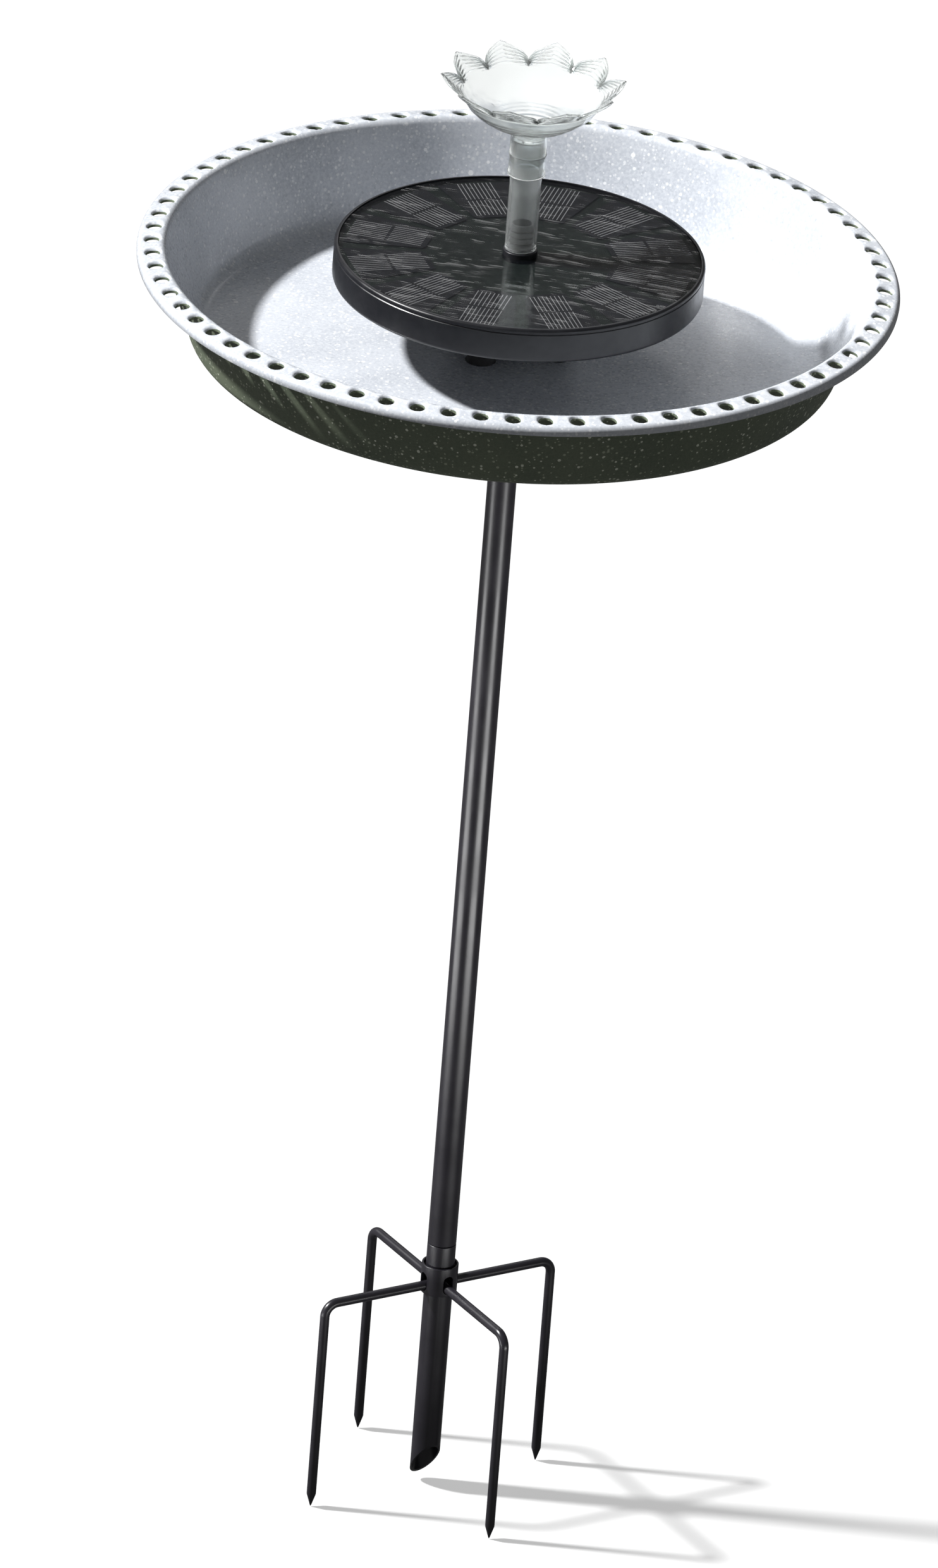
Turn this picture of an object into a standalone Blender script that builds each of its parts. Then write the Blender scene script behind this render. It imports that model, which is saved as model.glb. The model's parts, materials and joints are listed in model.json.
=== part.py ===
"""Solar-fountain bird bath on a fork-footed ground stake, one named object for each physical piece.

Metres, +Z up. The origin is on the pole's axis, level with the tips of the four prongs.
"""

import math

import bmesh
import bpy
from mathutils import Matrix, Vector

MM = 0.001
GAP = 0.3 * MM  # play between two pieces that touch

# Stake, collar and prongs
POLE_RADIUS = 7.1 * MM
POLE_WALL = 1.0 * MM
STAKE_TIP_Z = 3 * MM
STAKE_TOP_Z = 133 * MM
BEVEL_ANGLE = math.radians(56)  # the stake's open end, from level
BEVEL_FACES = math.radians(-45)
COLLAR_RADIUS = 9.1 * MM
COLLAR_BOTTOM_Z = 107 * MM
COLLAR_HEIGHT = 15 * MM
COLLAR_MOUTH_DEPTH = 2.5 * MM
PRONG_RADIUS = 2.35 * MM
PRONG_REACH = 64.4 * MM
PRONG_BEND = 6.5 * MM
PRONG_POINT = 6.8 * MM
PRONG_ROOT = 3.4 * MM
ARM_Z = 111 * MM
SLOT_PLAY = 0.35 * MM
SLOT_HEADROOM = 4.4 * MM
PRONG_ANGLES = {"front_left": 225, "front_right": 315, "back_left": 135, "back_right": 45}

# Threaded studs and nuts
STUD_RADIUS = 4.0 * MM
STUD_LENGTH = 27 * MM
NUT_LENGTH = 13 * MM
BOLT_RADIUS = 3.0 * MM

# Bowl: radii of the upper surface, heights measured from the crest of the rim
CREST_Z = 662.6 * MM
RIM_RADIUS = 185 * MM
CREST_RADIUS = 174.5 * MM
LIP_DROP = 6 * MM
LIP_ROLL = 3.2 * MM
RIM_ROLL = 4.5 * MM
WALL_TOP_RADIUS = 170.5 * MM
WALL_FOOT_RADIUS = 157 * MM
WALL_FOOT_DROP = 38.5 * MM
FLOOR_DROP = 45.8 * MM
FLOOR_CORNER = 9 * MM
BOWL_SHEET = 1.2 * MM
HOLE_COUNT = 72
HOLE_RADIUS = 3.8 * MM
HOLE_CIRCLE = 177.5 * MM
HOLE_PHASE = math.radians(1.2)
FLOOR_Z = CREST_Z - FLOOR_DROP
UNDERSIDE_Z = FLOOR_Z - BOWL_SHEET

# Flange under the bowl
FLANGE_RADIUS = 38 * MM
FLANGE_THICK = 3 * MM
BOSS_RADIUS = 10.5 * MM
BOSS_LENGTH = 28 * MM
GASKET_THICK = 1.5 * MM
GASKET_RADIUS = 30 * MM
SEAL_WASHER = (10 * MM, 1.2 * MM)  # radius, thickness
STEEL_WASHER = (8.5 * MM, 1.0 * MM)
BOLT_HEAD = (5.5 * MM, 3.2 * MM)
BOLT_LENGTH = 30 * MM
FLANGE_Z = UNDERSIDE_Z - 2 * GAP - GASKET_THICK  # the flange plate's upper face
POLE_TOP_Z = FLANGE_Z - FLANGE_THICK - 3 * MM - GAP

# Floating fountain
PANEL_Z = FLOOR_Z + 51.8 * MM
FLOAT_RADIUS = 90 * MM
FLOAT_HEIGHT = 17.5 * MM
FLOAT_WALL = 2 * MM
FLOAT_EDGE = 1.5 * MM
COVER_THICK = 1.2 * MM
CELL_THICK = 0.4 * MM
BOARD_THICK = 1.6 * MM
FOAM_INNER = 30 * MM
CELL_COUNT = 12
CELL_INNER = 46 * MM
CELL_OUTER = 86 * MM
CELL_SPAN = math.radians(25)
OUTLET_RADIUS = 8.4 * MM
OUTLET_RISE = 2 * MM
NIPPLE_RADIUS = 6.0 * MM
NIPPLE_RISE = 16 * MM
OUTLET_BORE = 4.6 * MM

# Pump, heights measured from the bowl's floor
PUMP_RADIUS = 32 * MM
PUMP_WALL = 2 * MM
PUMP_ROOF = 2.5 * MM
PUMP_BOTTOM = 13.6 * MM
COVER_BOTTOM = 8.3 * MM
COVER_PLATE = 5 * MM
CUP_CIRCLE = 22 * MM
CUP_RADIUS = 7.6 * MM
SCREW_CIRCLE = 26 * MM
SCREW_RADIUS = 1.4 * MM
LEAD_RADIUS = 1.6 * MM
LEAD_CIRCLE = 20 * MM
SHAFT_RADIUS = 1.0 * MM
BLADE_COUNT = 6
GRILLE_SLOTS = 12

# Riser and lotus nozzle, heights measured from the panel
RISER_RADIUS = 7.7 * MM
RISER_WALL = 1.3 * MM
RISER_TOP = 60 * MM
NECK_BOTTOM = 41.5 * MM
NECK_TOP = 62.5 * MM
NECK_INNER = 8.0 * MM
NOZZLE_WALL = 0.9 * MM
DISH_RIM_RADIUS = 34.5 * MM
DISH_RIM_RISE = 83 * MM
DISH_FLOOR_RISE = 66.5 * MM
PETAL_TIP_RADIUS = 45 * MM
PETAL_TIP_RISE = 93 * MM
PETAL_COUNT = 10
PETAL_PHASE = math.radians(17.7)

POLE_BORE = POLE_RADIUS - POLE_WALL
PUMP_TOP_Z = PANEL_Z - FLOAT_HEIGHT - GAP


# Scene and helpers

def clear_scene():
    for obj in list(bpy.data.objects):
        bpy.data.objects.remove(obj, do_unlink=True)


def new_collection(name):
    collection = bpy.data.collections.new(name)
    bpy.context.scene.collection.children.link(collection)
    return collection


def make_material(name, color, roughness, metallic=0.0, alpha=1.0):
    material = bpy.data.materials.new(name)
    material.use_nodes = True
    shader = material.node_tree.nodes["Principled BSDF"]
    shader.inputs["Base Color"].default_value = (*color, 1.0)
    shader.inputs["Roughness"].default_value = roughness
    shader.inputs["Metallic"].default_value = metallic
    shader.inputs["Alpha"].default_value = alpha
    return material


def add_object(name, data, material):
    """Puts a mesh or a curve in the parts' collection, with its material."""
    if material.name not in data.materials:
        data.materials.append(material)
    obj = bpy.data.objects.new(name, data)
    PARTS.objects.link(obj)
    return obj


def add_cutter(name, bm):
    mesh = bpy.data.meshes.new(name)
    bm.to_mesh(mesh)
    bm.free()
    obj = bpy.data.objects.new(name, mesh)
    obj.hide_render = True
    obj.display_type = "WIRE"
    CUTTERS.objects.link(obj)
    return obj


def boolean(obj, other, operation="DIFFERENCE"):
    modifier = obj.modifiers.new(other.name, "BOOLEAN")
    modifier.object = other
    modifier.operation = operation
    modifier.solver = "EXACT"


def turned(name, profile, material, steps=32, closed=True):
    """A turned solid or, with closed False, an open surface. The profile holds (radius, height)
    pairs and runs down the outer side. It may end on the axis instead of closing on itself."""
    on_axis = profile[0][0] == 0
    mesh = bpy.data.meshes.new(name)
    count = len(profile)
    edges = [(i, i + 1) for i in range(count - 1)]
    if closed and not on_axis:
        edges.append((count - 1, 0))
    mesh.from_pydata([(r, 0, z) for r, z in profile], edges, [])
    obj = add_object(name, mesh, material)
    screw = obj.modifiers.new("Turn", "SCREW")
    screw.steps = screw.render_steps = steps
    screw.use_merge_vertices = True
    screw.merge_threshold = 0.00001
    screw.use_smooth_shade = True
    return obj


def ring(name, inner, outer, low, high, material, steps=32):
    return turned(name, [(outer, high), (outer, low), (inner, low), (inner, high)], material, steps)


def rod(name, points, radius, material, radii=None):
    """A round rod along the points, thinned where radii gives a share under 1."""
    curve = bpy.data.curves.new(name, "CURVE")
    curve.dimensions = "3D"
    curve.bevel_depth = radius
    curve.bevel_resolution = 3
    curve.use_fill_caps = True
    spline = curve.splines.new("POLY")
    spline.points.add(len(points) - 1)
    for i, point in enumerate(points):
        spline.points[i].co = (*point, 1)
        spline.points[i].radius = radii[i] if radii else 1
    return add_object(name, curve, material)


def arc(center, radius, start, end, count):
    """(x, z) points on an arc, angles in degrees, both ends included."""
    angles = [math.radians(start + (end - start) * i / (count - 1)) for i in range(count)]
    return [(center[0] + radius * math.cos(a), center[1] + radius * math.sin(a)) for a in angles]


def polar(radius, angle, z=0.0):
    return Vector((radius * math.cos(angle), radius * math.sin(angle), z))


def add_cylinder(bm, radius, low, high, at=(0, 0), segments=16):
    """A cylinder from low to high, over the point at."""
    matrix = Matrix.Translation((at[0], at[1], (low + high) / 2))
    bmesh.ops.create_cone(bm, cap_ends=True, segments=segments, radius1=radius, radius2=radius,
                          depth=high - low, matrix=matrix)


def add_box(bm, size, center, turn=0.0):
    """A box of the given size whose center is moved out, then turned about the pole's axis."""
    matrix = Matrix.Rotation(turn, 4, "Z") @ Matrix.Translation(center) @ Matrix.Diagonal((*size, 1))
    bmesh.ops.create_cube(bm, size=1, matrix=matrix)


# Stake, collar and prongs

def prong_slots():
    """Cuts all four upright slots, each with a round foot and a round head."""
    half = PRONG_RADIUS + SLOT_PLAY
    outline = arc((0, 0), half, 180, 360, 6) + arc((0, SLOT_HEADROOM), half, 0, 180, 6)
    length = COLLAR_RADIUS + 2 * MM
    bm = bmesh.new()
    for degrees in PRONG_ANGLES.values():
        turn = Matrix.Rotation(math.radians(degrees), 4, "Z")
        points = [turn @ Vector((2 * MM, y, ARM_Z + z)) for y, z in outline]
        face = bm.faces.new([bm.verts.new(p) for p in points])
        grown = bmesh.ops.extrude_face_region(bm, geom=[face])["geom"]
        moved = [v for v in grown if isinstance(v, bmesh.types.BMVert)]
        bmesh.ops.translate(bm, verts=moved, vec=turn @ Vector((length, 0, 0)))
    bmesh.ops.recalc_face_normals(bm, faces=bm.faces)
    return add_cutter("slot_cutter", bm)


def bevel_block():
    """A block whose upper face is the slanting plane of the stake's open end."""
    size = 60 * MM
    bm = bmesh.new()
    bmesh.ops.create_cube(bm, size=size, matrix=Matrix.Translation((0, 0, -size / 2)))
    low_edge = Vector((-POLE_RADIUS, 0, STAKE_TIP_Z))
    matrix = (Matrix.Rotation(BEVEL_FACES, 4, "Z") @ Matrix.Translation(low_edge)
              @ Matrix.Rotation(-BEVEL_ANGLE, 4, "Y"))
    bmesh.ops.transform(bm, matrix=matrix, verts=bm.verts)
    return add_cutter("bevel_cutter", bm)


def make_stake(paint, steel):
    slots = prong_slots()
    tube = ring("stake_tube", POLE_BORE, POLE_RADIUS, 0, STAKE_TOP_Z, paint)
    boolean(tube, bevel_block())
    boolean(tube, slots)

    fit = POLE_RADIUS + GAP
    top = COLLAR_BOTTOM_Z + COLLAR_HEIGHT
    mouth = fit + 0.7 * MM
    collar = turned("prong_collar", [
        (COLLAR_RADIUS - 0.3 * MM, top), (COLLAR_RADIUS, top - 0.3 * MM),
        (COLLAR_RADIUS, COLLAR_BOTTOM_Z), (fit, COLLAR_BOTTOM_Z),
        (fit, top - COLLAR_MOUTH_DEPTH), (mouth, top - COLLAR_MOUTH_DEPTH + 0.5 * MM), (mouth, top),
    ], paint)
    boolean(collar, slots)

    ring("stake_top_nut", STUD_RADIUS + GAP, POLE_BORE - GAP,
         STAKE_TOP_Z - NUT_LENGTH - GAP, STAKE_TOP_Z - GAP, steel, 24)


def make_prongs(paint):
    """Each prong is a bent rod with a turned point, hung from the collar by its arm."""
    corner = (PRONG_REACH - PRONG_BEND, -PRONG_BEND)
    bend = arc(corner, PRONG_BEND, 90, 0, 7)
    path = [(PRONG_ROOT, 0), *bend, (PRONG_REACH, PRONG_POINT - ARM_Z), (PRONG_REACH, -ARM_Z)]
    shares = [1] * (len(path) - 1) + [0.1]
    for place, degrees in PRONG_ANGLES.items():
        prong = rod("prong_" + place, [(x, 0, z) for x, z in path], PRONG_RADIUS, paint, shares)
        prong.location.z = ARM_Z
        prong.rotation_euler.z = math.radians(degrees)


# Pole

def make_pole(paint, steel):
    bottom = STAKE_TOP_Z + GAP
    ring("pole_tube", POLE_BORE, POLE_RADIUS, bottom, POLE_TOP_Z, paint)
    ring("pole_bottom_nut", STUD_RADIUS + GAP, POLE_BORE - GAP,
         bottom + GAP, bottom + NUT_LENGTH, steel, 24)
    ring("pole_top_nut", BOLT_RADIUS + GAP, POLE_BORE - GAP,
         POLE_TOP_Z - 1.4 * NUT_LENGTH, POLE_TOP_Z - GAP, steel, 24)
    end = STUD_RADIUS - 0.8 * MM
    low = bottom - STUD_LENGTH / 2
    high = bottom + STUD_LENGTH / 2
    turned("pole_stud", [(0, high), (end, high), (STUD_RADIUS, high - 0.8 * MM),
                         (STUD_RADIUS, low + 0.8 * MM), (end, low), (0, low)], steel, 24)


# Bowl and what clamps it to the pole

def bowl_profile():
    """The bowl's upper surface, from the bolt hole out to the edge of the turned-down lip."""
    wall = Vector((WALL_TOP_RADIUS - WALL_FOOT_RADIUS, WALL_FOOT_DROP - RIM_ROLL))
    lean = math.degrees(math.atan2(wall.x, wall.y))
    corner_x = WALL_FOOT_RADIUS - FLOOR_CORNER * math.cos(math.radians(lean))
    corner = arc((corner_x, FLOOR_Z + FLOOR_CORNER), FLOOR_CORNER, 270, 360 - lean, 4)
    inner_roll = arc((CREST_RADIUS, CREST_Z - RIM_ROLL), RIM_ROLL, 180 - lean, 90, 4)
    shoulder = (HOLE_CIRCLE + HOLE_RADIUS + 0.4 * MM, CREST_Z - 1.2 * MM)
    lip = arc((RIM_RADIUS - LIP_ROLL, shoulder[1] - LIP_ROLL), LIP_ROLL, 62, 0, 3)
    edge = (RIM_RADIUS - 0.2 * MM, CREST_Z - LIP_DROP)
    return [(BOLT_RADIUS + 0.5 * MM, FLOOR_Z), *corner, *inner_roll, *lip, edge]


def rim_holes():
    bm = bmesh.new()
    for i in range(HOLE_COUNT):
        at = polar(HOLE_CIRCLE, math.tau * (i + 0.5) / HOLE_COUNT)
        add_cylinder(bm, HOLE_RADIUS, CREST_Z - 6 * MM, CREST_Z + 3 * MM, at, 8)
    return add_cutter("rim_hole_cutter", bm)


def make_bowl(enamel):
    bowl = turned("bowl", bowl_profile(), enamel, HOLE_COUNT, closed=False)
    sheet = bowl.modifiers.new("Sheet", "SOLIDIFY")
    sheet.thickness = BOWL_SHEET
    sheet.offset = -1
    sheet.use_even_offset = True
    holes = rim_holes()
    boolean(bowl, holes)
    bowl.rotation_euler.z = holes.rotation_euler.z = HOLE_PHASE


def make_bowl_clamp(paint, steel, rubber):
    bore = BOLT_RADIUS + GAP
    plate_bottom = FLANGE_Z - FLANGE_THICK
    boss_bottom = plate_bottom - BOSS_LENGTH
    socket = POLE_RADIUS + GAP
    turned("bowl_flange", [
        (FLANGE_RADIUS - 0.6 * MM, FLANGE_Z), (FLANGE_RADIUS, FLANGE_Z - 0.6 * MM),
        (FLANGE_RADIUS, plate_bottom), (BOSS_RADIUS + 3 * MM, plate_bottom),
        (BOSS_RADIUS, plate_bottom - 3 * MM), (BOSS_RADIUS, boss_bottom),
        (socket, boss_bottom), (socket, POLE_TOP_Z + GAP), (bore, POLE_TOP_Z + GAP), (bore, FLANGE_Z),
    ], paint)
    ring("flange_gasket", bore, GASKET_RADIUS, FLANGE_Z + GAP, UNDERSIDE_Z - GAP, rubber)

    seal_low = FLOOR_Z + GAP
    steel_low = seal_low + SEAL_WASHER[1] + GAP
    head_low = steel_low + STEEL_WASHER[1] + GAP
    ring("seal_washer", bore, SEAL_WASHER[0], seal_low, seal_low + SEAL_WASHER[1], rubber, 24)
    ring("steel_washer", bore, STEEL_WASHER[0], steel_low, steel_low + STEEL_WASHER[1], steel, 24)

    head_radius, head_height = BOLT_HEAD
    head_top = head_low + head_height
    tip = head_low - BOLT_LENGTH
    bolt = turned("bowl_bolt", [
        (0, head_top), (0.6 * head_radius, head_top), (0.9 * head_radius, head_top - 1.0 * MM),
        (head_radius, head_low + 0.8 * MM), (head_radius, head_low), (BOLT_RADIUS, head_low),
        (BOLT_RADIUS, tip + 0.6 * MM), (BOLT_RADIUS - 0.6 * MM, tip), (0, tip),
    ], steel, 24)
    bm = bmesh.new()
    add_cylinder(bm, 0.42 * head_radius, head_top - 1.8 * MM, head_top + MM, segments=6)
    boolean(bolt, add_cutter("hex_key_cutter", bm))


# Floating solar panel

def make_float(plastic, foam, board, glazing):
    top = PANEL_Z
    bottom = PANEL_Z - FLOAT_HEIGHT
    centre = OUTLET_RADIUS + GAP
    inside = FLOAT_RADIUS - FLOAT_WALL
    floor = bottom + FLOAT_WALL
    upper = arc((FLOAT_RADIUS - FLOAT_EDGE, top - FLOAT_EDGE), FLOAT_EDGE, 90, 0, 3)
    lower = arc((FLOAT_RADIUS - FLOAT_EDGE, bottom + FLOAT_EDGE), FLOAT_EDGE, 0, -90, 3)
    tray = turned("float_tray", [*upper, *lower, (centre, bottom), (centre, floor),
                                 (inside, floor), (inside, top)], plastic, 48)
    boolean(tray, float_holes())

    cover_low = top - GAP - COVER_THICK
    cell_low = cover_low - GAP - CELL_THICK
    board_low = cell_low - GAP - BOARD_THICK
    ring("panel_cover", centre, inside - GAP, cover_low, top - GAP, glazing, 48)
    ring("solar_board", centre, inside - GAP, board_low, cell_low - GAP, board)
    ring("float_foam", FOAM_INNER, inside - GAP, floor + GAP, board_low - GAP, foam, 24)
    return cell_low, board_low


def make_cells(cell_low, silicon):
    """The flat cells lie like the petals of a daisy, each a wedge with its points cut off."""
    curve = bpy.data.curves.new("solar_cell", "CURVE")
    curve.dimensions = "2D"
    curve.fill_mode = "BOTH"
    curve.extrude = CELL_THICK / 2
    half = CELL_SPAN / 2
    corners = [polar(CELL_INNER, -half), polar(CELL_OUTER, -half),
               polar(CELL_OUTER, half), polar(CELL_INNER, half)]
    spline = curve.splines.new("POLY")
    spline.points.add(len(corners) - 1)
    spline.use_cyclic_u = True
    for point, corner in zip(spline.points, corners):
        point.co = (*corner, 1)
    for i in range(CELL_COUNT):
        cell = add_object(f"solar_cell_{i + 1:02d}", curve, silicon)
        cell.location.z = cell_low + CELL_THICK / 2
        cell.rotation_euler.z = math.tau * i / CELL_COUNT


def float_holes():
    """The holes through the tray and the pump's roof, for three screws and the panel's lead."""
    low = PUMP_TOP_Z - 2 * PUMP_ROOF
    high = PANEL_Z - FLOAT_HEIGHT + 2 * FLOAT_WALL
    bm = bmesh.new()
    for i in range(3):
        add_cylinder(bm, SCREW_RADIUS + GAP, low, high, polar(SCREW_CIRCLE, math.tau * i / 3), 12)
    add_cylinder(bm, LEAD_RADIUS + GAP, low, high, polar(LEAD_CIRCLE, math.radians(60)), 12)
    return add_cutter("float_hole_cutter", bm)


def make_screws_and_lead(board_low, steel, rubber):
    head_high = PUMP_TOP_Z - PUMP_ROOF - GAP
    head_low = head_high - 1.8 * MM
    shank_top = PANEL_Z - FLOAT_HEIGHT + FLOAT_WALL + 1.5 * MM - GAP
    for i in range(3):
        screw = turned(f"float_screw_{i + 1}", [
            (0, shank_top), (SCREW_RADIUS, shank_top), (SCREW_RADIUS, head_high),
            (2 * SCREW_RADIUS, head_high), (2 * SCREW_RADIUS, head_low), (0, head_low),
        ], steel, 12)
        screw.location = polar(SCREW_CIRCLE, math.tau * i / 3)
    foot = polar(LEAD_CIRCLE, math.radians(60), PUMP_TOP_Z - PUMP_ROOF - 1.0 * MM)
    lead = rod("panel_lead", [foot, foot + Vector((0, 0, 8 * MM)), Vector((foot.x, foot.y, board_low - GAP))],
               LEAD_RADIUS, rubber)
    lead.data.bevel_resolution = 2


def make_outlet(plastic):
    low = PUMP_TOP_Z + GAP
    shelf = PANEL_Z + OUTLET_RISE
    top = PANEL_Z + NIPPLE_RISE
    turned("outlet_socket", [
        (NIPPLE_RADIUS - 0.5 * MM, top), (NIPPLE_RADIUS, top - 0.5 * MM), (NIPPLE_RADIUS, shelf),
        (OUTLET_RADIUS - 0.6 * MM, shelf), (OUTLET_RADIUS, shelf - 0.6 * MM), (OUTLET_RADIUS, low),
        (OUTLET_BORE, low), (OUTLET_BORE, top),
    ], plastic, 24)


# Pump

def make_pump(plastic, copper, board, foam, ceramic):
    low = FLOOR_Z + PUMP_BOTTOM
    inside = PUMP_RADIUS - PUMP_WALL
    roof = PUMP_TOP_Z - PUMP_ROOF
    housing = turned("pump_housing", [
        (PUMP_RADIUS - 1.5 * MM, PUMP_TOP_Z), (PUMP_RADIUS, PUMP_TOP_Z - 1.5 * MM), (PUMP_RADIUS, low),
        (inside, low), (inside, roof), (OUTLET_BORE, roof), (OUTLET_BORE, PUMP_TOP_Z),
    ], plastic)
    boolean(housing, float_holes())
    ring("pump_stator", 12.5 * MM, 23 * MM, low + 5.6 * MM, low + 14.4 * MM, copper, 24)
    ring("driver_board", 9 * MM, 17.5 * MM, low + 15 * MM, low + 16.2 * MM, board, 24)
    ring("sponge_filter", 13 * MM, inside - GAP, low + 0.4 * MM, low + 5 * MM, foam, 24)
    ring_top = low + 16 * MM
    turned("impeller_shaft", [(0, ring_top), (SHAFT_RADIUS, ring_top), (SHAFT_RADIUS, low + GAP),
                              (0, low + GAP)], ceramic, 12)


def make_impeller(plastic):
    """A magnet drum with upright blades under it, turning on the shaft."""
    low = FLOOR_Z + PUMP_BOTTOM + 1.5 * MM
    drum_low = low + 5 * MM
    top = low + 12 * MM
    bore = SHAFT_RADIUS + GAP
    impeller = turned("impeller", [(8 * MM, top), (8 * MM, drum_low), (3.5 * MM, drum_low),
                                   (3.5 * MM, low), (bore, low), (bore, top)], plastic, 24)
    bm = bmesh.new()
    reach = (3 * MM, 10.5 * MM)
    for i in range(BLADE_COUNT):
        add_box(bm, (reach[1] - reach[0], 1.2 * MM, 4.9 * MM), (sum(reach) / 2, 0, low + 2.7 * MM),
                math.tau * i / BLADE_COUNT)
    boolean(impeller, add_cutter("blade_former", bm), "UNION")


def make_intake(plastic, rubber):
    low = FLOOR_Z + COVER_BOTTOM
    high = low + COVER_PLATE
    cover = turned("intake_cover", [
        (0, high - 2.5 * MM), (PUMP_RADIUS - 4 * MM, high - 2.5 * MM), (PUMP_RADIUS - 3 * MM, high),
        (PUMP_RADIUS, high), (PUMP_RADIUS, low + 1.5 * MM), (PUMP_RADIUS - 1.5 * MM, low), (0, low),
    ], plastic)
    bm = bmesh.new()
    for i in range(GRILLE_SLOTS):
        if i % 4:
            add_box(bm, (15 * MM, 3 * MM, 4 * COVER_PLATE), (18 * MM, 0, low), math.tau * i / GRILLE_SLOTS)
    boolean(cover, add_cutter("grille_cutter", bm))

    cup_top = low - GAP
    for i in range(3):
        cup = turned(f"suction_cup_{i + 1}", [
            (0, cup_top), (3 * MM, cup_top), (3 * MM, cup_top - 2 * MM), (CUP_RADIUS, FLOOR_Z + 0.9 * MM),
            (CUP_RADIUS, FLOOR_Z + GAP), (CUP_RADIUS - MM, FLOOR_Z + GAP), (0, FLOOR_Z + 3 * MM),
        ], rubber, 16)
        cup.location = polar(CUP_CIRCLE, math.tau * i / 3)


# Riser and nozzle

def make_riser(clear):
    low = PANEL_Z + OUTLET_RISE + GAP
    ring("riser_tube", RISER_RADIUS - RISER_WALL, RISER_RADIUS, low, PANEL_Z + RISER_TOP, clear, 24)


def nozzle_surface():
    """(radius, height) down the nozzle's outer line, from the dish's rim to the foot of the neck."""
    neck = NECK_INNER + NOZZLE_WALL
    dish = [(DISH_RIM_RADIUS, DISH_RIM_RISE), (30 * MM, 76.5 * MM), (22 * MM, 70.5 * MM),
            (14 * MM, DISH_FLOOR_RISE + 0.8 * MM)]
    return [*dish, (neck, NECK_TOP + 1.5 * MM), (neck, NECK_TOP - 2 * MM), (neck, NECK_BOTTOM)]


def petal_rows(offset):
    """Two outer rows of the nozzle at this share of a petal's half width, the tip's row first."""
    length = math.sqrt(max(1 - offset, 0.01))
    rows = []
    for share in (1.0, 0.55):
        t = share * length
        radius = DISH_RIM_RADIUS + t * (PETAL_TIP_RADIUS - DISH_RIM_RADIUS)
        rise = DISH_RIM_RISE + (t ** 0.8) * (PETAL_TIP_RISE - DISH_RIM_RISE)
        rows.append((radius, rise))
    return rows


def make_nozzle(clear):
    """A thin loft: round at the neck and the dish, and pointed petals at its upper edge."""
    steps = 6  # columns to a petal
    columns = PETAL_COUNT * steps
    bm = bmesh.new()
    grid = []
    for i in range(columns):
        angle = PETAL_PHASE + math.tau * i / columns
        place = i % steps
        offset = 2 * min(place, steps - place) / steps
        line = petal_rows(offset) + nozzle_surface()
        grid.append([bm.verts.new(polar(r, angle, PANEL_Z + z)) for r, z in line])
    for i in range(columns):
        left, right = grid[i], grid[(i + 1) % columns]
        for j in range(len(left) - 1):
            bm.faces.new((left[j], left[j + 1], right[j + 1], right[j]))
    mesh = bpy.data.meshes.new("lotus_nozzle")
    bm.to_mesh(mesh)
    bm.free()
    mesh.shade_smooth()
    nozzle = add_object("lotus_nozzle", mesh, clear)
    wall = nozzle.modifiers.new("Wall", "SOLIDIFY")
    wall.thickness = NOZZLE_WALL
    wall.offset = -1

    ring("nozzle_jet_disc", 2.2 * MM, NECK_INNER - GAP, PANEL_Z + RISER_TOP + GAP,
         PANEL_Z + RISER_TOP + 2.2 * MM, clear, 24)


def build():
    paint = make_material("satin black paint", (0.020, 0.020, 0.023), 0.42)
    steel = make_material("zinc-plated steel", (0.60, 0.60, 0.58), 0.35, 1.0)
    enamel = make_material("speckled grey enamel", (0.62, 0.64, 0.66), 0.35)
    rubber = make_material("black rubber", (0.03, 0.03, 0.03), 0.8)
    plastic = make_material("black plastic", (0.015, 0.015, 0.017), 0.45)
    foam = make_material("grey foam", (0.18, 0.18, 0.18), 0.95)
    board = make_material("circuit board", (0.02, 0.03, 0.025), 0.5)
    silicon = make_material("solar cell", (0.008, 0.010, 0.020), 0.2)
    glazing = make_material("clear panel cover", (0.9, 0.9, 0.9), 0.05, alpha=0.2)
    clear = make_material("clear plastic", (0.92, 0.94, 0.95), 0.05, alpha=0.3)
    copper = make_material("copper winding", (0.55, 0.22, 0.09), 0.4, 1.0)
    ceramic = make_material("white ceramic", (0.85, 0.85, 0.82), 0.3)

    make_stake(paint, steel)
    make_prongs(paint)
    make_pole(paint, steel)
    make_bowl(enamel)
    make_bowl_clamp(paint, steel, rubber)
    cell_low, board_low = make_float(plastic, foam, board, glazing)
    make_cells(cell_low, silicon)
    make_screws_and_lead(board_low, steel, rubber)
    make_outlet(plastic)
    make_pump(plastic, copper, board, foam, ceramic)
    make_impeller(plastic)
    make_intake(plastic, rubber)
    make_riser(clear)
    make_nozzle(clear)


clear_scene()
PARTS = new_collection("Bird bath on fork stake")
CUTTERS = new_collection("Cutters")
build()
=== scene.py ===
import json
import math

import bmesh
import bpy
from mathutils import Matrix, Quaternion, Vector, noise

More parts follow.
